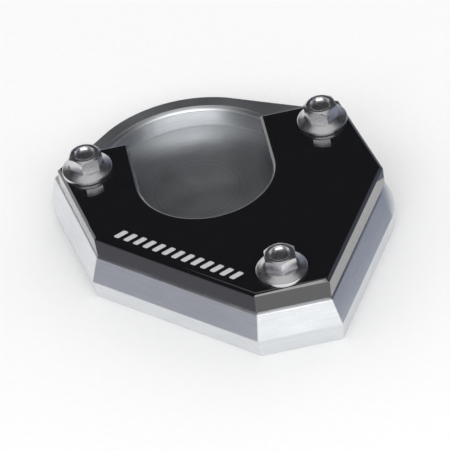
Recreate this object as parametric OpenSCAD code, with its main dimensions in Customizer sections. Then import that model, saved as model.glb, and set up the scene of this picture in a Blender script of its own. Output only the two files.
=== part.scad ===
// Kickstand foot enlarger.
// A thick silver base plate lies on the ground and a thin black cover is bolted down on it.
// The base has a pocket under the cover, and the cover has a slot that is open to the rear.
// The origin is on the ground under the axis of the slot's round end, +Y to the rear, +Z up.
// Each straight side is a flat, set by the direction that it faces and its reach from that axis.

/* [Flats] */
// Direction that the left flat faces, degrees from +X
left_dir = 190; // [186:1:198]
// Reach of the left flat from the slot's axis
left_reach = 35; // [34:0.5:40]
// Direction that the front left flat faces
front_left_dir = 226; // [222:1:232]
// Reach of the front left flat
front_left_reach = 35; // [34:0.5:40]
// Direction that the nose flat faces
nose_dir = 270; // [266:1:272]
// Reach of the nose flat
nose_reach = 52.5; // [50:0.5:58]
// Direction that the right flat faces
right_dir = 331; // [326:1:336]
// Reach of the right flat
right_reach = 46; // [44:0.5:50]
// Direction that the side flat behind the right corner faces
side_dir = 10.5; // [6:0.5:16]
// Reach of that side flat
side_reach = 42.5; // [40:0.5:46]

/* [Rear rim] */
// Sideways place of the round rim's centre, from the slot's axis
rim_x = -2.3; // [-4:0.1:0]
// Rearward place of the round rim's centre
rim_y = 7.8; // [6:0.1:10]
// Outer radius of the round rim
rim_r = 33; // [32:0.5:36]
// Width of the rim between the pocket and the outside
rim_w = 5.6; // [4:0.1:8]
// Direction of the flat that runs into the rim on the left
rim_left_dir = 132; // [128:1:138]
// Direction of the flat that runs into the rim on the right
rim_right_dir = 61; // [56:1:66]

/* [Base plate] */
// Height of the base plate
base_h = 13; // [11:0.5:16]
// Height of the ridge that runs round the five sloping sides
ridge_z = 5.6; // [3:0.1:8]
// How far the ridge stands out from the top edge
flare = 2.8; // [1:0.1:5]
// How far the side comes in again from the ridge to the ground
foot_taper = 0.7; // [0.1:0.1:2]
// Radius of the base's right corner, at its top edge
corner_r = 18; // [6:1:22]
// Broken edge round the top of the base
base_edge = 0.8; // [0.3:0.1:1.2]

/* [Pocket] */
// Depth of the pocket under the cover
pocket_d = 6; // [4:0.5:7]
// Reach of the pocket to the front
pocket_front = 28; // [24:0.5:30]
// Radius of the pocket's front corners
pocket_corner_r = 12; // [6:0.5:14]
// Metal left between a tapped hole and the pocket
pocket_wall = 3.8; // [2:0.1:5]
// How far the left boss stands out of the pocket's straight side
boss_proud = 0.4; // [0.1:0.1:1.5]
// Broken edge along the round end of the pocket
pocket_edge = 1; // [0.3:0.1:1.5]

/* [Cover] */
// Thickness of the cover
cover_t = 6; // [5:0.5:8]
// Chamfer round the cover's top edge
cover_chamfer = 0.8; // [0.3:0.1:1.2]
// Reach of the cover's two arms to the rear
arm_reach = 19; // [17:0.5:22]
// Width of the slot between the arms
slot_w = 36; // [32:0.5:40]
// Chamfer round the slot's top edge
slot_chamfer = 0.8; // [0.3:0.1:1.2]
// Direction that the cut corner of the left arm faces
cut_dir = 132; // [128:1:138]
// Reach of that cut corner
cut_reach = 36; // [35:0.5:40]

/* [Bolts] */
// Nominal diameter of the bolts
bolt_d = 6; // [5:0.5:6.5]
// Length of a bolt under its head
bolt_len = 16; // [12:1:17]
// Chamfer at a bolt's tip
tip_chamfer = 0.7; // [0.3:0.1:1]
// Radial clearance between a bolt and the tapped hole, as drawn
tap_clearance = 0.05; // [0.02:0.01:0.15]
// Radial clearance between a bolt and the hole in the cover
cover_clearance = 0.3; // [0.2:0.05:0.6]
// Countersink at both ends of a tapped hole
tap_chamfer = 0.6; // [0.3:0.1:1]
// Distance of the rear bolts from the side of the cover
bolt_side_margin = 7.2; // [7:0.1:9]
// Distance of the rear bolts from the rear edge of the cover
bolt_rear_margin = 8.2; // [7:0.1:10]
// Distance of the front bolt from the nose flat
nose_margin = 7.2; // [7:0.1:9]
// Distance of the front bolt from the right flat
right_margin = 13; // [11:0.5:16]
// Diameter of the flange
flange_d = 13.5; // [12:0.1:14]
// Thickness of the flange at its rim
flange_t = 1.2; // [0.8:0.1:1.6]
// Height of the flange's cone
flange_cone_h = 1; // [0.5:0.1:1.4]
// Width of the hexagon across its flats
hex_w = 8; // [7:0.5:9]
// Height of the head over the cover
head_h = 6; // [4.5:0.1:7]
// Height of the round chamfer on the hexagon's corners
hex_chamfer = 0.7; // [0.3:0.1:1]
// Diameter of the dished top of the head
dish_d = 5.6; // [4:0.1:6]
// Depth of the dish
dish_depth = 0.9; // [0.3:0.1:1.5]

/* [Hidden] */
$fn = 96;
// Larger than the whole plate, for the cutting profiles
span = 200;
// Extra length of a cutter past the face that it opens
over = 1;
// Turn of each bolt's hexagon
left_turn = 12;
right_turn = 41;
front_turn = 25;

function dot(p, dir) = p[0] * cos(dir) + p[1] * sin(dir);
// Point where the flats with these directions and reaches meet
function meet(dir_a, reach_a, dir_b, reach_b) =
    let (turn = sin(dir_b - dir_a))
    [
        (reach_a * sin(dir_b) - reach_b * sin(dir_a)) / turn,
        (reach_b * cos(dir_a) - reach_a * cos(dir_b)) / turn
    ];

// Depth by which the flats beside a round part cut into its circle, too small to see
blend = 0.1;

rim_at = [rim_x, rim_y];
flat_r = rim_r - blend;
rim_left_reach = dot(rim_at, rim_left_dir) + flat_r;
rim_right_reach = dot(rim_at, rim_right_dir) + flat_r;
// Chord of the round rim, between the ends of the two rear flats
rim_dir = (rim_left_dir + rim_right_dir) / 2;
rim_share = cos((rim_left_dir - rim_right_dir) / 2);
rim_reach = dot(rim_at, rim_dir) + flat_r * rim_share;

// Chord of the round corner between the right flat and the side flat
corner_flat_r = corner_r - blend;
corner_at = meet(right_dir, right_reach - corner_flat_r, side_dir, side_reach - corner_flat_r);
corner_turn = side_dir + 360 - right_dir;
corner_dir = side_dir - corner_turn / 2;
corner_share = cos(corner_turn / 2);
corner_reach = dot(corner_at, corner_dir) + corner_flat_r * corner_share;

// How far a side stands out from its top edge, at each height where it bends
ridge_steps = [
    [flare - foot_taper, 0],
    [flare, ridge_z],
    [flare * base_edge / (base_h - ridge_z), base_h - base_edge],
    [-base_edge, base_h]
];
rim_steps = [
    [0, 0],
    [0, base_h - base_edge],
    [-base_edge, base_h]
];

bolt_r = bolt_d / 2;
tap_r = bolt_r + tap_clearance;
rear_bolt_y = arm_reach - bolt_rear_margin;
left_bolt_at = meet(left_dir, left_reach - bolt_side_margin, 90, rear_bolt_y);
right_bolt_at = meet(side_dir, side_reach - bolt_side_margin, 90, rear_bolt_y);
front_bolt_at = meet(nose_dir, nose_reach - nose_margin, right_dir, right_reach - right_margin);
seat_z = base_h + cover_t;

pocket_r = rim_r - rim_w;
pocket_z = base_h - pocket_d;
// Round boss that is left standing round each rear tapped hole
boss_r = tap_r + pocket_wall;
pocket_left = left_bolt_at[0] + boss_r - boss_proud;
pocket_right = rim_x + pocket_r;
slot_r = slot_w / 2;

// A side profile, drawn outward from the slot's axis and up, swept along its flat
module flat_side(dir, profile) {
    rotate(dir)
        translate([0, span / 2, 0])
            rotate([90, 0, 0])
                linear_extrude(span)
                    polygon(profile);
}

// Side of the base with the given steps
module base_side(dir, reach, steps) {
    flat_side(dir, concat(
        [[-span, 0]],
        [for (step = steps) [reach + step[0], step[1]]],
        [[-span, base_h]]
    ));
}

// The same steps for a cutter, whose first and last stretches run on past the ground and the top
function cutter_steps(steps, reach, share) =
    let (
        last = len(steps) - 1,
        low = (steps[1][0] - steps[0][0]) / (steps[1][1] - steps[0][1]),
        high = (steps[last][0] - steps[last - 1][0]) / (steps[last][1] - steps[last - 1][1])
    )
    concat(
        [[reach + share * (steps[0][0] - low * over), -over]],
        [for (i = [1 : last - 1]) [reach + share * steps[i][0], steps[i][1]]],
        [[reach + share * (steps[last][0] + high * over), base_h + over]]
    );

// What is cut away outside a round stretch: all that lies beyond its chord, less the round itself
module round_waste(at, r, dir, reach, share, steps) {
    difference() {
        flat_side(dir, concat(
            cutter_steps(steps, reach, share),
            [[span, base_h + over], [span, -over]]
        ));
        translate([at[0], at[1], 0])
            rotate_extrude()
                polygon(concat([[0, -over]], cutter_steps(steps, r, 1), [[0, base_h + over]]));
    }
}

module base_blank() {
    difference() {
        intersection() {
            base_side(left_dir, left_reach, ridge_steps);
            base_side(front_left_dir, front_left_reach, ridge_steps);
            base_side(nose_dir, nose_reach, ridge_steps);
            base_side(right_dir, right_reach, ridge_steps);
            base_side(side_dir, side_reach, ridge_steps);
            base_side(rim_left_dir, rim_left_reach, rim_steps);
            base_side(rim_right_dir, rim_right_reach, rim_steps);
        }
        round_waste(corner_at, corner_r, corner_dir, corner_reach, corner_share, ridge_steps);
        round_waste(rim_at, rim_r, rim_dir, rim_reach, rim_share, rim_steps);
    }
}

module rear_bosses() {
    for (at = [left_bolt_at, right_bolt_at])
        translate(at)
            circle(boss_r);
}

// Wall in front of the left boss
module left_wall() {
    translate([pocket_left - span, left_bolt_at[1] - span])
        square([span, span]);
}

// Outline of the pocket: a round rear end, straight sides, two round front corners, less the bosses
module pocket_outline() {
    front_y = pocket_corner_r - pocket_front;
    width = pocket_right - pocket_left;
    difference() {
        union() {
            translate([rim_x, rim_y])
                circle(pocket_r);
            translate([pocket_left, front_y])
                square([width, rim_y - front_y]);
            translate([pocket_left + pocket_corner_r, -pocket_front])
                square([width - 2 * pocket_corner_r, pocket_corner_r]);
            for (x = [pocket_left + pocket_corner_r, pocket_right - pocket_corner_r])
                translate([x, front_y])
                    circle(pocket_corner_r);
        }
        rear_bosses();
        left_wall();
    }
}

// Broken edge along the pocket's round end, behind the rear bolts
module pocket_edge_cut() {
    difference() {
        intersection() {
            translate([rim_x, rim_y, base_h - pocket_edge])
                cylinder(h = 2 * pocket_edge, r1 = pocket_r, r2 = pocket_r + 2 * pocket_edge);
            translate([-span / 2, rear_bolt_y, 0])
                cube([span, span, span]);
        }
        linear_extrude(span)
            rear_bosses();
    }
}

// Cutter for a hole of radius r from z to top, with a countersink at both ends
module countersunk_hole(at, r, z, top, edge) {
    translate([at[0], at[1], 0])
        rotate_extrude()
            polygon([
                [0, z - over],
                [r + edge + over, z - over],
                [r, z + edge],
                [r, top - edge],
                [r + edge + over, top + over],
                [0, top + over]
            ]);
}

module base_plate() {
    color("silver")
        difference() {
            base_blank();
            translate([0, 0, pocket_z])
                linear_extrude(pocket_d + over)
                    pocket_outline();
            pocket_edge_cut();
            for (at = [left_bolt_at, right_bolt_at, front_bolt_at])
                countersunk_hole(at, tap_r, 0, base_h, tap_chamfer);
        }
}

// Upright side of the cover with its chamfer
module cover_side(dir, reach) {
    flat_side(dir, [
        [-span, base_h],
        [reach, base_h],
        [reach, seat_z - cover_chamfer],
        [reach - cover_chamfer, seat_z],
        [-span, seat_z]
    ]);
}

module cover_blank() {
    intersection() {
        cover_side(left_dir, left_reach);
        cover_side(front_left_dir, front_left_reach);
        cover_side(nose_dir, nose_reach);
        cover_side(right_dir, right_reach);
        cover_side(side_dir, side_reach);
        cover_side(cut_dir, cut_reach);
        cover_side(90, arm_reach);
    }
}

// Slot with a round front end, open to the rear, with its chamfer
module rear_slot() {
    wide_r = slot_r + slot_chamfer + over;
    translate([0, 0, base_h - over])
        cylinder(h = cover_t + 2 * over, r = slot_r);
    translate([0, 0, seat_z - slot_chamfer])
        cylinder(h = slot_chamfer + over, r1 = slot_r, r2 = wide_r);
    translate([0, span, 0])
        rotate([90, 0, 0])
            linear_extrude(span)
                polygon([
                    [-slot_r, base_h - over],
                    [slot_r, base_h - over],
                    [slot_r, seat_z - slot_chamfer],
                    [wide_r, seat_z + over],
                    [-wide_r, seat_z + over],
                    [-slot_r, seat_z - slot_chamfer]
                ]);
}

module top_cover() {
    color([0.07, 0.07, 0.08])
        difference() {
            cover_blank();
            rear_slot();
            for (at = [left_bolt_at, right_bolt_at, front_bolt_at])
                translate([at[0], at[1], base_h - over])
                    cylinder(h = cover_t + 2 * over, r = bolt_r + cover_clearance);
        }
}

// Hexagon with the round chamfer of a turned head
module hex_head() {
    corner = hex_w / 2 / cos(30);
    intersection() {
        cylinder(h = head_h, r = corner, $fn = 6);
        rotate_extrude()
            polygon([
                [0, 0],
                [corner + over, 0],
                [corner + over, head_h - hex_chamfer - over / 2],
                [hex_w / 2 - hex_chamfer / 2, head_h],
                [0, head_h]
            ]);
    }
}

// One flange bolt, with the underside of its flange at height 0
module flange_bolt() {
    color("gainsboro")
        difference() {
            union() {
                hex_head();
                rotate_extrude()
                    polygon([
                        [0, -bolt_len],
                        [bolt_r - tip_chamfer, -bolt_len],
                        [bolt_r, tip_chamfer - bolt_len],
                        [bolt_r, 0],
                        [flange_d / 2, 0],
                        [flange_d / 2, flange_t],
                        [hex_w / 2, flange_t + flange_cone_h],
                        [0, flange_t + flange_cone_h]
                    ]);
            }
            translate([0, 0, head_h - dish_depth])
                cylinder(h = dish_depth + over, d1 = dish_d - dish_depth, d2 = dish_d + over);
        }
}

module placed_bolt(at, turn) {
    translate([at[0], at[1], seat_z])
        rotate(turn)
            flange_bolt();
}

module left_bolt() {
    placed_bolt(left_bolt_at, left_turn);
}

module right_bolt() {
    placed_bolt(right_bolt_at, right_turn);
}

module front_bolt() {
    placed_bolt(front_bolt_at, front_turn);
}

base_plate();
top_cover();
left_bolt();
right_bolt();
front_bolt();
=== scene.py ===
# %% [markdown]
# # Kickstand foot enlarger
# A machined pad in five pieces: a thick silver base that lies on the ground, a thinner gloss
# black cover on top of it, and three flange bolts that clamp the two together.
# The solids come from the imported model, so every piece here is made in metres, in its frame:
# the ground is z = 0, +Y is the open rear of the slot, and the camera looks from the front left.

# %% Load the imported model
import math

import bmesh
import bpy
from mathutils import Matrix, Vector


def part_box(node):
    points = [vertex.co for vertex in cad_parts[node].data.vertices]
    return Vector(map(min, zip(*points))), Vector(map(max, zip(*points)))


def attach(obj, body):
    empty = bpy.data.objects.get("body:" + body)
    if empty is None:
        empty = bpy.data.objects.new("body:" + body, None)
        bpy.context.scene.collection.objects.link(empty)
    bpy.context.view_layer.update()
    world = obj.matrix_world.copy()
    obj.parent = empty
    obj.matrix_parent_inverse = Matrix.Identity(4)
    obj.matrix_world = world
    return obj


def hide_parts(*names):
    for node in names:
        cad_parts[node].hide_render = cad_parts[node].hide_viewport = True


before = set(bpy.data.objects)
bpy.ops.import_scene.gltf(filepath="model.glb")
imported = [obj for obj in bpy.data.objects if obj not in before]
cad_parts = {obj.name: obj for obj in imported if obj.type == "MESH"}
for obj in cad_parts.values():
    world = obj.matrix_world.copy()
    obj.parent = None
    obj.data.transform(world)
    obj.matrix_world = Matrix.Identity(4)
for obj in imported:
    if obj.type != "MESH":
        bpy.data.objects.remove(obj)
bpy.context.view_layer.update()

MM = 0.001
print("nodes", sorted(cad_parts))

# %% [markdown]
# ## Camera
# The picture is taken from about 40 degrees above the ground, a little to the left of the
# nose, with a camera that is tilted by ten degrees. Its place was worked out from the corners
# of the plates in the photograph. The lens is longer than the real one, so that the part, which
# is a small patch of that picture, fills the frame. Distance and direction stay the same, so
# the perspective does too.

# %% Camera from a place, an aim and a roll
CAMERA_AT = Vector((-43.7, -779.4, 656.9)) * MM
CAMERA_AIM = Vector((2.1, -12.7, 10.3)) * MM
CAMERA_ROLL = math.radians(-9.7)
LENS_MM = 305.0


def aim_rotation(place, aim, roll=0.0):
    """Rotation of a camera or lamp at place that looks at aim, rolled about its own axis."""
    towards = (aim - place).to_track_quat("-Z", "Y")
    return (towards.to_matrix() @ Matrix.Rotation(roll, 3, "Z")).to_euler()


camera_data = bpy.data.cameras.new("camera")
camera_data.lens = LENS_MM
camera_data.sensor_width = 36.0
camera_data.clip_start = 0.02
camera = bpy.data.objects.new("camera", camera_data)
bpy.context.scene.collection.objects.link(camera)
camera.location = CAMERA_AT
camera.rotation_euler = aim_rotation(CAMERA_AT, CAMERA_AIM, CAMERA_ROLL)
bpy.context.scene.camera = camera
print("camera distance", round((CAMERA_AIM - CAMERA_AT).length, 3), "m")

# %% [markdown]
# ## Helpers for the finishes
# Colours are written as sRGB hex values, the way a paint or anodising chart gives them, and one
# function turns them to the linear values that the shaders use. One more function adds a node
# with its settings, values and links, so that each finish reads as a list of what it is made of.

# %% Colour and node helpers


def linear(hex_colour):
    """Linear RGBA of an sRGB hex colour such as '#c8cacc'."""
    parts = [int(hex_colour[i : i + 2], 16) / 255 for i in (1, 3, 5)]
    return tuple(c / 12.92 if c <= 0.04045 else ((c + 0.055) / 1.055) ** 2.4 for c in parts) + (1.0,)


def add_node(tree, kind, values=None, links=None, **settings):
    """Adds a node, sets its settings and input values, and links other nodes' outputs to it."""
    node = tree.nodes.new(kind)
    for name, value in settings.items():
        setattr(node, name, value)
    for name, value in (values or {}).items():
        node.inputs[name].default_value = value
    for name, output in (links or {}).items():
        tree.links.new(output, node.inputs[name])
    return node


def new_material(name):
    """An empty material and its tree."""
    material = bpy.data.materials.new(name)
    material.use_nodes = True
    material.node_tree.nodes.clear()
    return material, material.node_tree


print("grey of half brightness", [round(c, 3) for c in linear("#bcbcbc")])

# %% [markdown]
# ## Clear anodised, milled aluminium: the base
# The base is milled from plate and clear anodised. The end mill leaves fine lines: level ones
# along the sides, and rings on the faces that look up. Anodising keeps them and turns the metal
# satin. A picture of scratches would need an image file and a UV map, so the lines are noise
# that is stretched along the cut. Real ones are about 0.1 mm apart, which is too fine to show
# here, so they are drawn 0.6 and 0.8 mm apart.

# %% Level lines along the sides
SIDE_LINE = 0.6 * MM
CUT_LENGTH = 9.0 * MM

aluminium, tree = new_material("clear_anodised_milled_aluminium")
place = add_node(tree, "ShaderNodeTexCoord")
along_sides = add_node(
    tree, "ShaderNodeMapping",
    {"Scale": (1 / CUT_LENGTH, 1 / CUT_LENGTH, 1 / SIDE_LINE)},
    {"Vector": place.outputs["Object"]},
)
side_lines = add_node(
    tree, "ShaderNodeTexNoise", {"Scale": 1.0, "Detail": 4.0, "Roughness": 0.6},
    {"Vector": along_sides.outputs[0]},
)
print("side lines", SIDE_LINE / MM, "mm apart,", CUT_LENGTH / MM, "mm long")

# %% [markdown]
# The rings run round the axis of the round pocket. The distance from that axis, measured flat on
# the plate, is the only thing that a ring's noise needs, so it is noise along one line.

# %% Rings on the faces that look up
RING_LINE = 0.8 * MM
POCKET_AXIS = Vector((-2.3, 7.8, 0.0)) * MM

from_axis = add_node(
    tree, "ShaderNodeVectorMath", {1: POCKET_AXIS}, {0: place.outputs["Object"]}, operation="SUBTRACT"
)
level = add_node(
    tree, "ShaderNodeVectorMath", {1: (1, 1, 0)}, {0: from_axis.outputs[0]}, operation="MULTIPLY"
)
radius = add_node(tree, "ShaderNodeVectorMath", links={0: level.outputs[0]}, operation="LENGTH")
ring_place = add_node(
    tree, "ShaderNodeMath", {1: 1 / RING_LINE}, {0: radius.outputs["Value"]}, operation="MULTIPLY"
)
ring_lines = add_node(
    tree, "ShaderNodeTexNoise", {"Scale": 1.0, "Detail": 3.0, "Roughness": 0.6},
    {"W": ring_place.outputs[0]}, noise_dimensions="1D",
)
print("rings", RING_LINE / MM, "mm apart round", [round(c / MM, 1) for c in POCKET_AXIS])

# %% [markdown]
# Which of the two a face gets depends on where it looks: up, or to the side. Fine grit from the
# etch before anodising is mixed in.

# %% Lines chosen by the way a face looks, with etch grit
LOOKS_UP = 0.8
GRIT = 0.7 * MM
GRIT_SHARE = 0.35

surface = add_node(tree, "ShaderNodeNewGeometry")
facing = add_node(tree, "ShaderNodeSeparateXYZ", links={0: surface.outputs["Normal"]})
upward = add_node(
    tree, "ShaderNodeMath", {1: LOOKS_UP}, {0: facing.outputs["Z"]}, operation="GREATER_THAN"
)
lines = add_node(
    tree, "ShaderNodeMix",
    links={0: upward.outputs[0], 2: side_lines.outputs[0], 3: ring_lines.outputs[0]},
)
grit = add_node(
    tree, "ShaderNodeTexNoise", {"Scale": 1 / GRIT, "Detail": 2.0, "Roughness": 0.7},
    {"Vector": place.outputs["Object"]},
)
tone = add_node(tree, "ShaderNodeMix", {0: GRIT_SHARE}, {2: lines.outputs[0], 3: grit.outputs[0]})
print("nodes so far", len(tree.nodes))

# %% [markdown]
# Anodised aluminium is a touch bluer and darker than bare metal. The satin varies in soft clouds
# of a centimetre or so, which is what handling and etching leave, and the lines are cut only
# some hundredths of a millimetre deep.

# %% Colour, satin and relief of the aluminium
CLOUD = 14 * MM

cloud = add_node(
    tree, "ShaderNodeTexNoise", {"Scale": 1 / CLOUD, "Detail": 3.0}, {"Vector": place.outputs["Object"]}
)
roughness = add_node(
    tree, "ShaderNodeMapRange",
    {"From Min": 0.3, "From Max": 0.7, "To Min": 0.30, "To Max": 0.42},
    {"Value": cloud.outputs[0]},
)
colour = add_node(
    tree, "ShaderNodeMix", {6: linear("#cfd2d6"), 7: linear("#f8fafb")},
    {0: tone.outputs[0]}, data_type="RGBA",
)
relief = add_node(
    tree, "ShaderNodeBump", {"Strength": 0.6, "Distance": 0.03 * MM}, {"Height": tone.outputs[0]}
)
shader = add_node(
    tree, "ShaderNodeBsdfPrincipled", {"Metallic": 1.0},
    {"Base Color": colour.outputs[2], "Roughness": roughness.outputs[0], "Normal": relief.outputs[0]},
)
add_node(tree, "ShaderNodeOutputMaterial", links={"Surface": shader.outputs[0]})
print("finish", aluminium.name)

# %% [markdown]
# ## Gloss black anodised aluminium: the cover
# The cover is polished before it is anodised and dyed black. What the eye meets is a clear oxide
# film (index of refraction about 1.76) over a dark dye, so it acts like black glass: deep black
# where it mirrors something dark, with sharp reflections of the bolts. It is therefore made
# as a dark, smooth, non-metallic surface with the film's index, and not as a metal. The thin
# coat stands for the sealed, waxed top of the film.

# %% Gloss black film
POLISH_WAVE = 5 * MM

black_film, tree = new_material("gloss_black_anodised_aluminium")
place = add_node(tree, "ShaderNodeTexCoord")
polish = add_node(
    tree, "ShaderNodeTexNoise", {"Scale": 1 / POLISH_WAVE, "Detail": 4.0, "Roughness": 0.6},
    {"Vector": place.outputs["Object"]},
)
roughness = add_node(
    tree, "ShaderNodeMapRange",
    {"From Min": 0.3, "From Max": 0.7, "To Min": 0.06, "To Max": 0.085},
    {"Value": polish.outputs[0]},
)
colour = add_node(
    tree, "ShaderNodeMix", {6: linear("#08080a"), 7: linear("#121216")},
    {0: polish.outputs[0]}, data_type="RGBA",
)
relief = add_node(
    tree, "ShaderNodeBump", {"Strength": 0.05, "Distance": 0.01 * MM}, {"Height": polish.outputs[0]}
)
shader = add_node(
    tree, "ShaderNodeBsdfPrincipled",
    {"Metallic": 0.0, "IOR": 1.76, "Coat Weight": 1.0, "Coat Roughness": 0.03},
    {"Base Color": colour.outputs[2], "Roughness": roughness.outputs[0], "Normal": relief.outputs[0]},
)
add_node(tree, "ShaderNodeOutputMaterial", links={"Surface": shader.outputs[0]})
print("finish", black_film.name)

# %% [markdown]
# ## Laser marks in the film
# A marking laser boils the dye out of the oxide and frosts it, so a mark is a dull silver grey
# that stays non-metallic. The beam leaves hatch lines well under 0.1 mm apart. They are drawn
# as a grain of 0.3 mm, because finer ones don't show.

# %% Bleached, frosted oxide
LASER_GRAIN = 0.3 * MM

bleached_film, tree = new_material("laser_bleached_oxide")
place = add_node(tree, "ShaderNodeTexCoord")
frost = add_node(
    tree, "ShaderNodeTexNoise", {"Scale": 1 / LASER_GRAIN, "Detail": 3.0, "Roughness": 0.6},
    {"Vector": place.outputs["Object"]},
)
colour = add_node(
    tree, "ShaderNodeMix", {6: linear("#a8a8ac"), 7: linear("#dcdce0")},
    {0: frost.outputs[0]}, data_type="RGBA",
)
relief = add_node(
    tree, "ShaderNodeBump", {"Strength": 0.6, "Distance": 0.05 * MM}, {"Height": frost.outputs[0]}
)
shader = add_node(
    tree, "ShaderNodeBsdfPrincipled", {"Metallic": 0.0, "Roughness": 0.6, "IOR": 1.76},
    {"Base Color": colour.outputs[2], "Normal": relief.outputs[0]},
)
add_node(tree, "ShaderNodeOutputMaterial", links={"Surface": shader.outputs[0]})
print("finish", bleached_film.name)

# %% [markdown]
# ## Bright stainless steel: the bolts
# The bolts are cold headed and tumbled bright. The forging dies leave a very slight unevenness,
# so the mirror image in the flats is broken up a little. The metal is near neutral grey.

# %% Bright steel
DIE_MARK = 1.6 * MM

steel, tree = new_material("bright_stainless_steel")
place = add_node(tree, "ShaderNodeTexCoord")
dents = add_node(
    tree, "ShaderNodeTexNoise", {"Scale": 1 / DIE_MARK, "Detail": 3.0, "Roughness": 0.6},
    {"Vector": place.outputs["Object"]},
)
roughness = add_node(
    tree, "ShaderNodeMapRange",
    {"From Min": 0.3, "From Max": 0.7, "To Min": 0.24, "To Max": 0.34},
    {"Value": dents.outputs[0]},
)
colour = add_node(
    tree, "ShaderNodeMix", {6: linear("#cececf"), 7: linear("#e6e6e8")},
    {0: dents.outputs[0]}, data_type="RGBA",
)
relief = add_node(
    tree, "ShaderNodeBump", {"Strength": 0.1, "Distance": 0.04 * MM}, {"Height": dents.outputs[0]}
)
shader = add_node(
    tree, "ShaderNodeBsdfPrincipled", {"Metallic": 1.0},
    {"Base Color": colour.outputs[2], "Roughness": roughness.outputs[0], "Normal": relief.outputs[0]},
)
add_node(tree, "ShaderNodeOutputMaterial", links={"Surface": shader.outputs[0]})
print("finish", steel.name)

# %% [markdown]
# ## Plates with broken edges
# No milled edge is knife sharp: each is broken by a fraction of a millimetre, and that thin strip
# is what catches the light along the outline. The solids have the large chamfers. Here each
# plate is a copy of its solid with a small round on every hard edge. A bevel needs whole faces,
# and a solid's mesh is loose triangles, so the copy is merged first.

# %% Copy a solid and merge it
MERGE_DISTANCE = 0.002 * MM
SAME_PLANE = math.radians(0.15)


def merged_copy(node_name, piece_name):
    """A piece with the node's mesh, its loose triangles merged into whole faces."""
    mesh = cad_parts[node_name].data.copy()
    mesh.name = piece_name
    if mesh.has_custom_normals:
        mesh.attributes.remove(mesh.attributes["custom_normal"])
    for layer in list(mesh.uv_layers):
        mesh.uv_layers.remove(layer)
    mesh.materials.clear()
    shape = bmesh.new()
    shape.from_mesh(mesh)
    bmesh.ops.remove_doubles(shape, verts=shape.verts, dist=MERGE_DISTANCE)
    bmesh.ops.dissolve_limit(shape, angle_limit=SAME_PLANE, verts=shape.verts, edges=shape.edges)
    shape.to_mesh(mesh)
    open_edges = sum(not edge.is_manifold for edge in shape.edges)
    shape.free()
    piece = bpy.data.objects.new(piece_name, mesh)
    bpy.context.scene.collection.objects.link(piece)
    print(piece_name, len(mesh.polygons), "faces,", open_edges, "open edges")
    return piece


print("vertices closer than", MERGE_DISTANCE / MM, "mm are merged")

# %% [markdown]
# A bevel modifier rounds every edge that turns by more than 16 degrees, which leaves the small
# steps of the round walls alone. The result is made a plain mesh at once, so that later steps
# work on real faces.

# %% Round the hard edges
HARD_EDGE = math.radians(16)


def apply_modifiers(piece):
    """Turns a piece and its modifiers into a plain mesh."""
    bpy.context.view_layer.update()
    evaluated = piece.evaluated_get(bpy.context.evaluated_depsgraph_get())
    mesh = bpy.data.meshes.new_from_object(evaluated)
    piece.modifiers.clear()
    piece.data = mesh
    return piece


def round_edges(piece, width):
    """Rounds the hard edges of a piece with two strips each."""
    bevel = piece.modifiers.new("broken_edge", "BEVEL")
    bevel.width = width
    bevel.segments = 2
    bevel.limit_method = "ANGLE"
    bevel.angle_limit = HARD_EDGE
    bevel.miter_outer = "MITER_ARC"
    return apply_modifiers(piece)


print("edges that turn by more than", round(math.degrees(HARD_EDGE)), "degrees are rounded")

# %% [markdown]
# Smooth shading bends the light across a face towards its neighbours. On a round wall that is
# right, and on a flat it is a fault that a gloss finish shows at once. So the shading is cut at
# the border of each flat. A face counts as flat by the size of the plane that it lies in,
# and the small facets of round walls stay smooth.

# %% Shade the flats flat and the rounds round
LARGE_FLAT = 60 * MM * MM
SMALL_FLAT = 8 * MM * MM
LARGE_FLAT_STEP = math.radians(1.5)
SMALL_FLAT_STEP = math.radians(9)
ROUND_STEP = math.radians(40)


def plane_of(face):
    """The rounded plane of a face, the same for all faces that lie in it."""
    distance = face.normal.dot(face.calc_center_median())
    return tuple(round(c, 3) for c in face.normal) + (round(distance / MM, 1),)


def flat_shading(piece):
    """Smooth shading that stops at the border of each flat, so that a flat mirrors as one."""
    shape = bmesh.new()
    shape.from_mesh(piece.data)
    areas = {}
    for face in shape.faces:
        face.smooth = True
        areas[plane_of(face)] = areas.get(plane_of(face), 0.0) + face.calc_area()
    for edge in shape.edges:
        largest = max(areas[plane_of(face)] for face in edge.link_faces)
        step = ROUND_STEP
        if largest > SMALL_FLAT:
            step = SMALL_FLAT_STEP
        if largest > LARGE_FLAT:
            step = LARGE_FLAT_STEP
        edge.smooth = edge.calc_face_angle(0.0) < step
    shape.to_mesh(piece.data)
    print(piece.name, "sharp edges", sum(not edge.smooth for edge in shape.edges))
    shape.free()
    return piece


print("a plane of more than", round(LARGE_FLAT / MM / MM), "mm2 counts as a large flat")

# %% [markdown]
# ## The base
# On the real base the corners between the flats are deburred by hand after milling, a little
# over 0.2 mm wide. A wider round would read as cast metal, and none at all as a drawing.

# %% Make the base
BASE_BREAK = 0.22 * MM

base = merged_copy("base_plate", "milled_base")
base.data.materials.append(aluminium)
round_edges(base, BASE_BREAK)
flat_shading(base)
print("milled_base", len(base.data.polygons), "faces")

# %% [markdown]
# ## Geometry Nodes in a script
# The bars in the cover and the bolts both repeat, so Geometry Nodes make them. A tree gets named
# inputs for its sizes. A modifier knows an input by the socket's identifier and not by its
# name, so the identifiers are kept. The result is made a plain mesh, because an export would
# drop the instances.

# %% New tree with named inputs, and its run on a piece


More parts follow.
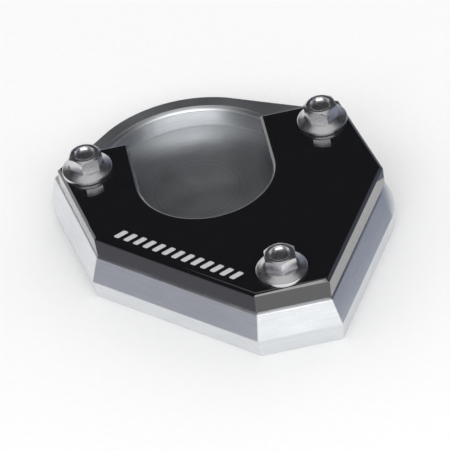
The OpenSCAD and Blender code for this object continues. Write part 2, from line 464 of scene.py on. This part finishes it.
def new_tree(name, inputs):
    """A Geometry Nodes tree with named inputs, and the inputs' own identifiers."""
    tree = bpy.data.node_groups.new(name, "GeometryNodeTree")
    tree.interface.new_socket("Geometry", in_out="INPUT", socket_type="NodeSocketGeometry")
    identifiers = {}
    for label, kind in inputs.items():
        socket = tree.interface.new_socket(label, in_out="INPUT", socket_type=kind)
        identifiers[label] = socket.identifier
    tree.interface.new_socket("Geometry", in_out="OUTPUT", socket_type="NodeSocketGeometry")
    return tree, add_node(tree, "NodeGroupInput"), identifiers


def run_tree(piece, tree, identifiers, values):
    """Puts the tree on the piece, sets its inputs, and makes the result a plain mesh."""
    modifier = piece.modifiers.new(tree.name, "NODES")
    modifier.node_group = tree
    for label, value in values.items():
        modifier[identifiers[label]] = value
    return apply_modifiers(piece)


print("node groups so far", len(bpy.data.node_groups))

# %% [markdown]
# ## Row of bars in the cover
# The strip beside the long front left edge of the cover holds a plain row of slanted bars. The
# laser sinks them far less than 0.1 mm. They are cut 0.25 mm deep here, so that the step is
# real geometry that still shows in the mesh. A bump map would be flat in a mesh file.
# One bar is a parallelogram with rounded corners, extruded to a closed block.

# %% One bar as a node tree
BAR_COUNT = 13
BAR_PITCH = 3.05 * MM
BAR_WIDTH = 1.7 * MM
BAR_HEIGHT = 3.3 * MM
BAR_SLANT = 1.3 * MM
BAR_CORNER = 0.4 * MM
CORNER_STEPS = 4

bar_tree, given, bar_inputs = new_tree(
    "row_of_bars",
    {"Count": "NodeSocketInt", "Pitch": "NodeSocketFloat", "Width": "NodeSocketFloat",
     "Height": "NodeSocketFloat", "Slant": "NodeSocketFloat", "Corner": "NodeSocketFloat",
     "Thickness": "NodeSocketFloat"},
)
outline = add_node(
    bar_tree, "GeometryNodeCurvePrimitiveQuadrilateral", mode="PARALLELOGRAM",
    links={"Width": given.outputs["Width"], "Height": given.outputs["Height"],
           "Offset": given.outputs["Slant"]},
)
rounded = add_node(
    bar_tree, "GeometryNodeFilletCurve", {"Count": CORNER_STEPS},
    {"Curve": outline.outputs[0], "Radius": given.outputs["Corner"]}, mode="POLY",
)
face = add_node(bar_tree, "GeometryNodeFillCurve", links={"Curve": rounded.outputs[0]}, mode="NGONS")
raised = add_node(
    bar_tree, "GeometryNodeExtrudeMesh", {"Individual": False},
    {"Mesh": face.outputs[0], "Offset Scale": given.outputs["Thickness"]},
)
print("bar", round(BAR_WIDTH / MM, 2), "x", round(BAR_HEIGHT / MM, 2), "mm")

# %% [markdown]
# An extruded face has no bottom, so the first face comes back turned over and is merged with the
# rest. A Boolean cuts cleanly only with a closed block.

# %% Close the bar and set it in a row
underside = add_node(bar_tree, "GeometryNodeFlipFaces", links={"Mesh": face.outputs[0]})
both = add_node(bar_tree, "GeometryNodeJoinGeometry", links={0: raised.outputs[0]})
bar_tree.links.new(underside.outputs[0], both.inputs[0])
bar = add_node(
    bar_tree, "GeometryNodeMergeByDistance", {"Distance": 0.001 * MM}, {"Geometry": both.outputs[0]}
)
spread = add_node(bar_tree, "ShaderNodeCombineXYZ", links={0: given.outputs["Pitch"]})
row = add_node(
    bar_tree, "GeometryNodeMeshLine",
    links={"Count": given.outputs["Count"], "Offset": spread.outputs[0]},
)
bars = add_node(
    bar_tree, "GeometryNodeInstanceOnPoints",
    links={"Points": row.outputs[0], "Instance": bar.outputs[0]},
)
real = add_node(bar_tree, "GeometryNodeRealizeInstances", links={0: bars.outputs[0]})
painted = add_node(
    bar_tree, "GeometryNodeSetMaterial", {"Material": bleached_film}, {"Geometry": real.outputs[0]}
)
add_node(bar_tree, "NodeGroupOutput", links={0: painted.outputs[0]})
print("row of", BAR_COUNT, "bars over", round(BAR_COUNT * BAR_PITCH / MM, 1), "mm")

# %% [markdown]
# The row runs along the long front left edge. Its place is given as that edge faces: the
# direction that it looks in, how far out the row is, and how far along.

# %% Place the row on the cover
CUTTER_THICKNESS = 1.0 * MM
BAR_DEPTH = 0.25 * MM
STRIP_FACING = math.radians(226)
STRIP_REACH = 30.6 * MM
STRIP_MIDDLE = 12.6 * MM
COVER_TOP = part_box("top_cover")[1].z

cutter = bpy.data.objects.new("bar_cutter", bpy.data.meshes.new("bar_cutter"))
bpy.context.scene.collection.objects.link(cutter)
run_tree(
    cutter, bar_tree, bar_inputs,
    {"Count": BAR_COUNT, "Pitch": BAR_PITCH, "Width": BAR_WIDTH, "Height": BAR_HEIGHT,
     "Slant": BAR_SLANT, "Corner": BAR_CORNER, "Thickness": CUTTER_THICKNESS},
)
centre = sum((Vector(corner) for corner in cutter.bound_box), Vector()) / 8
strip_along = STRIP_FACING + math.pi / 2
outward = Vector((math.cos(STRIP_FACING), math.sin(STRIP_FACING), 0))
along = Vector((math.cos(strip_along), math.sin(strip_along), 0))
strip_place = outward * STRIP_REACH + along * STRIP_MIDDLE
cutter.data.transform(
    Matrix.Translation(strip_place + Vector((0, 0, COVER_TOP - BAR_DEPTH)))
    @ Matrix.Rotation(strip_along, 4, "Z")
    @ Matrix.Translation(Vector((-centre.x, -centre.y, 0)))
)
print("cutter", len(cutter.data.polygons), "faces")

# %% [markdown]
# ## The cover
# The cover's edges are broken less than the base's: a gloss finish shows a wide round as a
# bright stripe, and these edges read as thin lines. A Boolean then takes the bars out of the top,
# and hands the cutter's finish to the faces that it cuts.

# %% Make the cover
COVER_BREAK = 0.18 * MM

cover = merged_copy("top_cover", "black_cover")
cover.data.materials.append(black_film)
round_edges(cover, COVER_BREAK)
marking = cover.modifiers.new("marking", "BOOLEAN")
marking.operation = "DIFFERENCE"
marking.object = cutter
marking.solver = "EXACT"
marking.material_mode = "TRANSFER"
apply_modifiers(cover)
bpy.data.objects.remove(cutter)
flat_shading(cover)
print("black_cover", len(cover.data.polygons), "faces,", [m.name for m in cover.data.materials])

# %% [markdown]
# ## Flange bolts
# A flange bolt is cold headed: a hexagon with a dished top and a turned chamfer on its corners
# stands on a round flange, and an M6 thread is rolled into the shank. All of it but the hexagon
# is round, so the shape is made ring by ring, the way it would be turned. Primitives joined
# by a Boolean would have no rounds where the parts meet.
# Up to the foot of the hexagon each ring is one radius at one height.

# %% Radii and heights from the tip to the hexagon
SHANK_LENGTH = 16.0
SHANK_RADIUS = 3.0
SHANK_STEPS = 112
HEX_FOOT = 2.05 * MM

TIP = [(1.2, -16.0), (2.3, -16.0), (2.36, -15.98), (3.0, -15.32)]
SHANK = [(SHANK_RADIUS, -15.3 + 14.8 * i / SHANK_STEPS) for i in range(1, SHANK_STEPS + 1)]
UNDERSIDE = [(3.0, -0.02), (3.02, 0.0), (6.6, 0.0)]
RIM = [(6.7, 0.05), (6.75, 0.2), (6.75, 0.95), (6.7, 1.1), (6.58, 1.2), (6.4, 1.27)]
SLOPE = [(4.95, 1.82), (4.8, 1.92)]
DISH = [(3.5, 6.0), (2.88, 6.0), (2.79, 5.96), (2.4, 5.2), (2.3, 5.12), (2.1, 5.1), (1.1, 5.1)]
RING_POINTS = 96
ANGLES = [2 * math.pi * i / RING_POINTS for i in range(RING_POINTS)]


def round_rings(profile):
    """One round ring for each radius and height, in mm, of a profile."""
    return [[(radius * MM, height * MM)] * RING_POINTS for radius, height in profile]


print("flange", 2 * max(radius for radius, height in RIM), "mm across")

# %% [markdown]
# In the head a ring's radius follows the hexagon, and the turned chamfer lowers its top at the
# corners. The six curved edges under the chamfer come from that by themselves.

# %% Rings of the hexagon and its chamfer
HEX_HALF = 4.0 * MM
HEAD_HEIGHT = 6.0 * MM
CHAMFER_START = 3.65 * MM
CHAMFER_SLOPE = 0.609


def hexagon_radius(angle):
    """Distance from the axis to the side of the hexagon in this direction."""
    return HEX_HALF / math.cos((angle % (math.pi / 3)) - math.pi / 6)


def top_height(radius):
    """Height of the head's top at this distance from the axis."""
    return HEAD_HEIGHT - max(0.0, radius - CHAMFER_START) * CHAMFER_SLOPE


def side_ring(share):
    """A ring on the six flats, at a share of the way up from the flange."""
    radii = [hexagon_radius(angle) for angle in ANGLES]
    return [(radius, HEX_FOOT + (top_height(radius) - HEX_FOOT) * share) for radius in radii]


def chamfer_ring(share):
    """A ring on the chamfer, at a share of the way out to the flats."""
    radii = [CHAMFER_START + (hexagon_radius(angle) - CHAMFER_START) * share for angle in ANGLES]
    return [(radius, top_height(radius)) for radius in radii]


head_rings = [side_ring(share) for share in (0.0, 0.5, 0.97)]
head_rings += [chamfer_ring(share) for share in (0.93, 0.5, 0.08)]
print("hexagon", 2 * HEX_HALF / MM, "mm across flats,", len(head_rings), "rings")

# %% [markdown]
# Two neighbouring rings are joined by a band of four-sided faces, and the first and the last
# ring are closed by one face each, so the bolt is a closed body.

# %% Join the rings to one bolt
BOLT_EDGE = math.radians(28)


def skin_rings(name, rings):
    """A closed mesh through rings of (radius, height) points."""
    shape = bmesh.new()
    rows = [
        [
            shape.verts.new((radius * math.cos(angle), radius * math.sin(angle), height))
            for angle, (radius, height) in zip(ANGLES, ring)
        ]
        for ring in rings
    ]
    for lower, upper in zip(rows, rows[1:]):
        for i in range(RING_POINTS):
            j = (i + 1) % RING_POINTS
            shape.faces.new((lower[i], lower[j], upper[j], upper[i]))
    shape.faces.new(list(reversed(rows[0])))
    shape.faces.new(rows[-1])
    mesh = bpy.data.meshes.new(name)
    shape.to_mesh(mesh)
    shape.free()
    mesh.shade_smooth()
    mesh.set_sharp_from_angle(angle=BOLT_EDGE)
    return mesh


rings = round_rings(TIP + SHANK + UNDERSIDE + RIM + SLOPE) + head_rings + round_rings(DISH)
bolt_shape = bpy.data.objects.new("bolt_shape", skin_rings("bolt_shape", rings))
bpy.context.scene.collection.objects.link(bolt_shape)
print("one bolt", len(bolt_shape.data.polygons), "faces")

# %% [markdown]
# The three bolts are the same part, and only the way that each hexagon points is its own,
# as a wrench leaves it. A point under each head carries that turn as an attribute.

# %% Where the bolts stand
TURNS = {"left_bolt": 12, "right_bolt": 41, "front_bolt": 25}

points, turns = [], []
for name, turn in TURNS.items():
    low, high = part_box(name)
    points.append(((low.x + high.x) / 2, (low.y + high.y) / 2, high.z - HEAD_HEIGHT))
    turns.append(math.radians(turn))
places = bpy.data.meshes.new("bolt_places")
places.from_pydata(points, [], [])
places.attributes.new("turn", "FLOAT", "POINT").data.foreach_set("value", turns)
print("bolts at", [[round(c / MM, 1) for c in point] for point in points])

# %% [markdown]
# ## Rolled thread
# A thread is a helical groove. The height of a point in pitches, less its turn about the axis,
# says where it is between two crests, so a little arithmetic gives the depth of the groove there.
# Pressing the shank in by that depth follows how a thread is rolled. A helix swept along a curve
# would need a Boolean with the shank.

# %% Depth of the groove at a point
THREAD_PITCH = 1.0 * MM
THREAD_DEPTH = 0.5 * MM
THREAD_START = (0.6 - SHANK_LENGTH) * MM
THREAD_END = -0.3 * MM

bolt_tree, given, bolt_inputs = new_tree(
    "bolts_with_rolled_thread",
    {"Bolt": "NodeSocketObject", "Thread pitch": "NodeSocketFloat", "Thread depth": "NodeSocketFloat",
     "Thread start": "NodeSocketFloat", "Thread end": "NodeSocketFloat"},
)
position = add_node(bolt_tree, "GeometryNodeInputPosition")
point = add_node(bolt_tree, "ShaderNodeSeparateXYZ", links={0: position.outputs[0]})
angle = add_node(
    bolt_tree, "ShaderNodeMath", links={0: point.outputs["Y"], 1: point.outputs["X"]}, operation="ARCTAN2"
)
turn = add_node(bolt_tree, "ShaderNodeMath", {1: 2 * math.pi}, {0: angle.outputs[0]}, operation="DIVIDE")
climb = add_node(
    bolt_tree, "ShaderNodeMath", links={0: point.outputs["Z"], 1: given.outputs["Thread pitch"]},
    operation="DIVIDE",
)
lead = add_node(
    bolt_tree, "ShaderNodeMath", links={0: climb.outputs[0], 1: turn.outputs[0]}, operation="SUBTRACT"
)
phase = add_node(bolt_tree, "ShaderNodeMath", links={0: lead.outputs[0]}, operation="FRACT")
saw = add_node(
    bolt_tree, "ShaderNodeMath", {1: 2.0, 2: -1.0}, {0: phase.outputs[0]}, operation="MULTIPLY_ADD"
)
groove = add_node(bolt_tree, "ShaderNodeMath", links={0: saw.outputs[0]}, operation="ABSOLUTE")
print("thread pitch", THREAD_PITCH / MM, "mm")

# %% [markdown]
# The groove is kept to the threaded length. Set Position then moves each point of it straight
# towards the axis.

# %% Press the groove into the shank
above = add_node(
    bolt_tree, "ShaderNodeMath", links={0: point.outputs["Z"], 1: given.outputs["Thread start"]},
    operation="GREATER_THAN",
)
below = add_node(
    bolt_tree, "ShaderNodeMath", links={0: point.outputs["Z"], 1: given.outputs["Thread end"]},
    operation="LESS_THAN",
)
threaded = add_node(
    bolt_tree, "ShaderNodeMath", links={0: above.outputs[0], 1: below.outputs[0]}, operation="MULTIPLY"
)
share = add_node(
    bolt_tree, "ShaderNodeMath", links={0: groove.outputs[0], 1: threaded.outputs[0]}, operation="MULTIPLY"
)
sideways = add_node(bolt_tree, "ShaderNodeCombineXYZ", links={0: point.outputs["X"], 1: point.outputs["Y"]})
inward = add_node(bolt_tree, "ShaderNodeVectorMath", links={0: sideways.outputs[0]}, operation="NORMALIZE")
press = add_node(
    bolt_tree, "ShaderNodeMath", links={0: share.outputs[0], 1: given.outputs["Thread depth"]},
    operation="MULTIPLY",
)
back = add_node(bolt_tree, "ShaderNodeMath", {1: -1.0}, {0: press.outputs[0]}, operation="MULTIPLY")
move = add_node(
    bolt_tree, "ShaderNodeVectorMath", links={0: inward.outputs[0], "Scale": back.outputs[0]},
    operation="SCALE",
)
bolt = add_node(bolt_tree, "GeometryNodeObjectInfo", links={"Object": given.outputs["Bolt"]})
rolled = add_node(
    bolt_tree, "GeometryNodeSetPosition",
    links={"Geometry": bolt.outputs["Geometry"], "Offset": move.outputs[0]},
)
print("thread depth", THREAD_DEPTH / MM, "mm")

# %% [markdown]
# One threaded bolt now stands on each point, turned about its axis by the point's attribute.

# %% Stand a bolt in each hole
turn_of_head = add_node(bolt_tree, "GeometryNodeInputNamedAttribute", {"Name": "turn"}, data_type="FLOAT")
about_z = add_node(bolt_tree, "ShaderNodeCombineXYZ", links={2: turn_of_head.outputs["Attribute"]})
rotation = add_node(bolt_tree, "FunctionNodeEulerToRotation", links={0: about_z.outputs[0]})
stood = add_node(
    bolt_tree, "GeometryNodeInstanceOnPoints",
    links={"Points": given.outputs["Geometry"], "Instance": rolled.outputs[0],
           "Rotation": rotation.outputs[0]},
)
real = add_node(bolt_tree, "GeometryNodeRealizeInstances", links={0: stood.outputs[0]})
painted = add_node(
    bolt_tree, "GeometryNodeSetMaterial", {"Material": steel}, {"Geometry": real.outputs[0]}
)
add_node(bolt_tree, "NodeGroupOutput", links={0: painted.outputs[0]})

bolts = bpy.data.objects.new("flange_bolts", places)
bpy.context.scene.collection.objects.link(bolts)
run_tree(
    bolts, bolt_tree, bolt_inputs,
    {"Bolt": bolt_shape, "Thread pitch": THREAD_PITCH, "Thread depth": THREAD_DEPTH,
     "Thread start": THREAD_START, "Thread end": THREAD_END},
)
bpy.data.objects.remove(bolt_shape)
print("flange_bolts", len(bolts.data.polygons), "faces")

# %% [markdown]
# ## Join the pieces to the model
# Nothing moves on this part, so all pieces ride on the one body. Each piece stands for its solids, which
# are hidden, and hands the same finish to the solids.

# %% Ride, hide the solids and share the finishes
PIECES = [
    (base, "base", aluminium, ["base_plate"]),
    (cover, "cover", black_film, ["top_cover"]),
    (bolts, "bolt", steel, ["left_bolt", "right_bolt", "front_bolt"]),
]
for piece, slot, finish, solids in PIECES:
    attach(piece, "root")
    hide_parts(*solids)
    for solid in solids:
        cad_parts[solid].data.materials.clear()
        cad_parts[solid].data.materials.append(finish)
    print(piece.name, "stands for", solids)

# %% [markdown]
# ## Pieces of the studio
# The floor and all that hangs round the part are plain meshes of a few faces.

# %% Stage pieces


def stage_mesh(name, points, faces, material):
    """A piece of the studio, which isn't part of the object."""
    mesh = bpy.data.meshes.new(name)
    mesh.from_pydata(points, [], faces)
    mesh.materials.append(material)
    thing = bpy.data.objects.new(name, mesh)
    bpy.context.scene.collection.objects.link(thing)
    return thing


print("pieces of the object so far", [piece.name for piece, *rest in PIECES])

# %% [markdown]
# ## Floor
# The part lies on matt white paper. Paper lights it softly from below, and its own shadow on the
# paper shows that it stands on the ground. The paper lies a hair under the part, because two
# faces in one plane would flicker.

# %% White paper
FLOOR_HALF = 6.0
FLOOR_DROP = 0.05 * MM
PAPER_FIBRE = 2 * MM

paper, tree = new_material("matt_white_paper")
place = add_node(tree, "ShaderNodeTexCoord")
fibre = add_node(
    tree, "ShaderNodeTexNoise", {"Scale": 1 / PAPER_FIBRE, "Detail": 2.0},
    {"Vector": place.outputs["Object"]},
)
colour = add_node(
    tree, "ShaderNodeMix", {6: linear("#f7f7f7"), 7: linear("#fbfbfb")},
    {0: fibre.outputs[0]}, data_type="RGBA",
)
shader = add_node(tree, "ShaderNodeBsdfDiffuse", links={"Color": colour.outputs[2]})
add_node(tree, "ShaderNodeOutputMaterial", links={"Surface": shader.outputs[0]})
corners = [(-1, -1), (1, -1), (1, 1), (-1, 1)]
stage_mesh(
    "floor", [(x * FLOOR_HALF, y * FLOOR_HALF, -FLOOR_DROP) for x, y in corners], [(0, 1, 2, 3)], paper
)
print("floor", 2 * FLOOR_HALF, "m across")

# %% [markdown]
# ## Cloth round the part
# Polished and satin metal show what is round them, so a product studio hangs up cloth: a dark
# band above the horizon keeps the gloss black cover black, grey cards at the left and the right
# turn the long sides grey, and the open front keeps the nose bright. The cloth is seen by
# reflections alone, so it takes no light from the part.

# %% Cloth that only reflections show


def cloth_paint(name, hex_colour):
    """Cloth of an even tone, whatever light falls on it."""
    material, tree = new_material(name)
    shader = add_node(tree, "ShaderNodeEmission", {"Color": linear(hex_colour), "Strength": 1.0})
    add_node(tree, "ShaderNodeOutputMaterial", links={"Surface": shader.outputs[0]})
    return material


def hang_cloth(name, points, faces, material):
    """Cloth that only reflections show."""
    cloth = stage_mesh(name, points, faces, material)
    cloth.visible_camera = False
    cloth.visible_diffuse = False
    cloth.visible_shadow = False
    cloth.visible_transmission = False
    cloth.visible_volume_scatter = False


LEFT_GREY = cloth_paint("grey_cloth_left", "#a0a0aa")
RIGHT_GREY = cloth_paint("grey_cloth_right", "#8c909f")
print("cards", LEFT_GREY.name, RIGHT_GREY.name)

# %% [markdown]
# The tent is a sphere round the part, hung in bands. A band is set by the directions and the
# heights between which it hangs, in degrees, because a mirror image depends on directions alone.
# The bands overlap a little, so that no slit of white shows between them.

# %% Bands of a round tent


def tent_band(name, radius, azimuths, elevations, material, steps=48, rows=8):
    """Part of a sphere round the part, in degrees. Azimuth runs from +X to +Y."""
    points, faces = [], []
    for row in range(rows + 1):
        elevation = math.radians(elevations[0] + (elevations[1] - elevations[0]) * row / rows)
        for step in range(steps + 1):
            azimuth = math.radians(azimuths[0] + (azimuths[1] - azimuths[0]) * step / steps)
            level_reach = radius * math.cos(elevation)
            height = radius * math.sin(elevation)
            points.append((level_reach * math.cos(azimuth), level_reach * math.sin(azimuth), height))
    for row in range(rows):
        for step in range(steps):
            a = row * (steps + 1) + step
            faces.append((a, a + 1, a + steps + 2, a + steps + 1))
    hang_cloth(name, points, faces, material)
    print(name, len(faces), "faces")


tent_band("tent_side", 2.0, (0, 360), (17, 66), cloth_paint("black_cloth", "#333336"))
tent_band("tent_top", 1.9, (0, 360), (64, 89.9), cloth_paint("white_cloth_top", "#d4d4d4"))
tent_band("left_card", 1.9, (150, 232), (0.2, 24), LEFT_GREY)
tent_band("right_card", 1.9, (-58, 70), (0.2, 24), RIGHT_GREY)

# %% [markdown]
# The bands of the side walls that slope in below the ridge look down, and show the floor some
# millimetres away. Grey cloth lies there too, from near the part out to the cards.

# %% Cloth on the floor
CLOTH_LIFT = 0.1 * MM
CLOTH_REACH = 1.8


def floor_cloth(name, near_corners, azimuths, material):
    """Cloth on the floor from its near corners, in mm, out to the tent between two azimuths."""
    points = [(x * MM, y * MM, CLOTH_LIFT) for x, y in near_corners]
    for azimuth in (azimuths[0], sum(azimuths) / 2, azimuths[1]):
        turn = math.radians(azimuth)
        points.append((CLOTH_REACH * math.cos(turn), CLOTH_REACH * math.sin(turn), CLOTH_LIFT))
    hang_cloth(name, points, [tuple(range(len(points)))], material)


floor_cloth("left_floor_cloth", [(-6.8, -57.3), (-49, -15)], (160, 228), LEFT_GREY)
floor_cloth("right_floor_cloth", [(58, 22), (60, -8), (38, -53)], (-42, 80), RIGHT_GREY)
print("floor cloths reach", CLOTH_REACH, "m out")

# %% [markdown]
# ## White surround
# The surround is plain white to the camera and to reflections. It lights matt surfaces a little
# less, because paper that is lit by the surround and the lamps together would clip to white and
# lose the shadow.

# %% World colour by kind of ray
DIFFUSE_LEVEL = 0.83

world = bpy.data.worlds.new("white_surround")
world.use_nodes = True
tree = world.node_tree
tree.nodes.clear()
ray = add_node(tree, "ShaderNodeLightPath")
camera_or_gloss = add_node(
    tree, "ShaderNodeMath", links={0: ray.outputs["Is Camera Ray"], 1: ray.outputs["Is Glossy Ray"]},
    operation="MAXIMUM",
)
seen = add_node(
    tree, "ShaderNodeMath",
    links={0: camera_or_gloss.outputs[0], 1: ray.outputs["Is Transmission Ray"]}, operation="MAXIMUM",
)
strength = add_node(
    tree, "ShaderNodeMapRange", {"To Min": DIFFUSE_LEVEL, "To Max": 1.0}, {"Value": seen.outputs[0]}
)
light = add_node(
    tree, "ShaderNodeBackground", {"Color": (1, 1, 1, 1)}, {"Strength": strength.outputs[0]}
)
add_node(tree, "ShaderNodeOutputWorld", links={"Surface": light.outputs[0]})
bpy.context.scene.world = world
bpy.context.scene.view_settings.view_transform = "Standard"
print("surround", world.name, "lights matt surfaces at", DIFFUSE_LEVEL)

# %% [markdown]
# ## Softboxes
# A wide softbox above the camera gives the shadow and the bright spots on the bolts, and the
# cover mirrors the bolts in its light. A weak low one in front lifts the nose.

# %% Two softboxes
FRONT_WATTS = 10.4
LOW_WATTS = 0.6


def softbox(name, place, size, watts):
    """A rectangular area lamp that faces the part."""
    data = bpy.data.lights.new(name, "AREA")
    data.shape = "RECTANGLE"
    data.size, data.size_y = size
    data.energy = watts
    lamp = bpy.data.objects.new(name, data)
    bpy.context.scene.collection.objects.link(lamp)
    lamp.location = place
    lamp.rotation_euler = aim_rotation(Vector(place), Vector((0, 0, 0.01)))
    print(name, size, "m,", watts, "W")


softbox("front_softbox", (-0.1, -1.25, 0.98), (2.0, 0.56), FRONT_WATTS)
softbox("low_softbox", (0.0, -1.5, 0.24), (1.2, 0.4), LOW_WATTS)
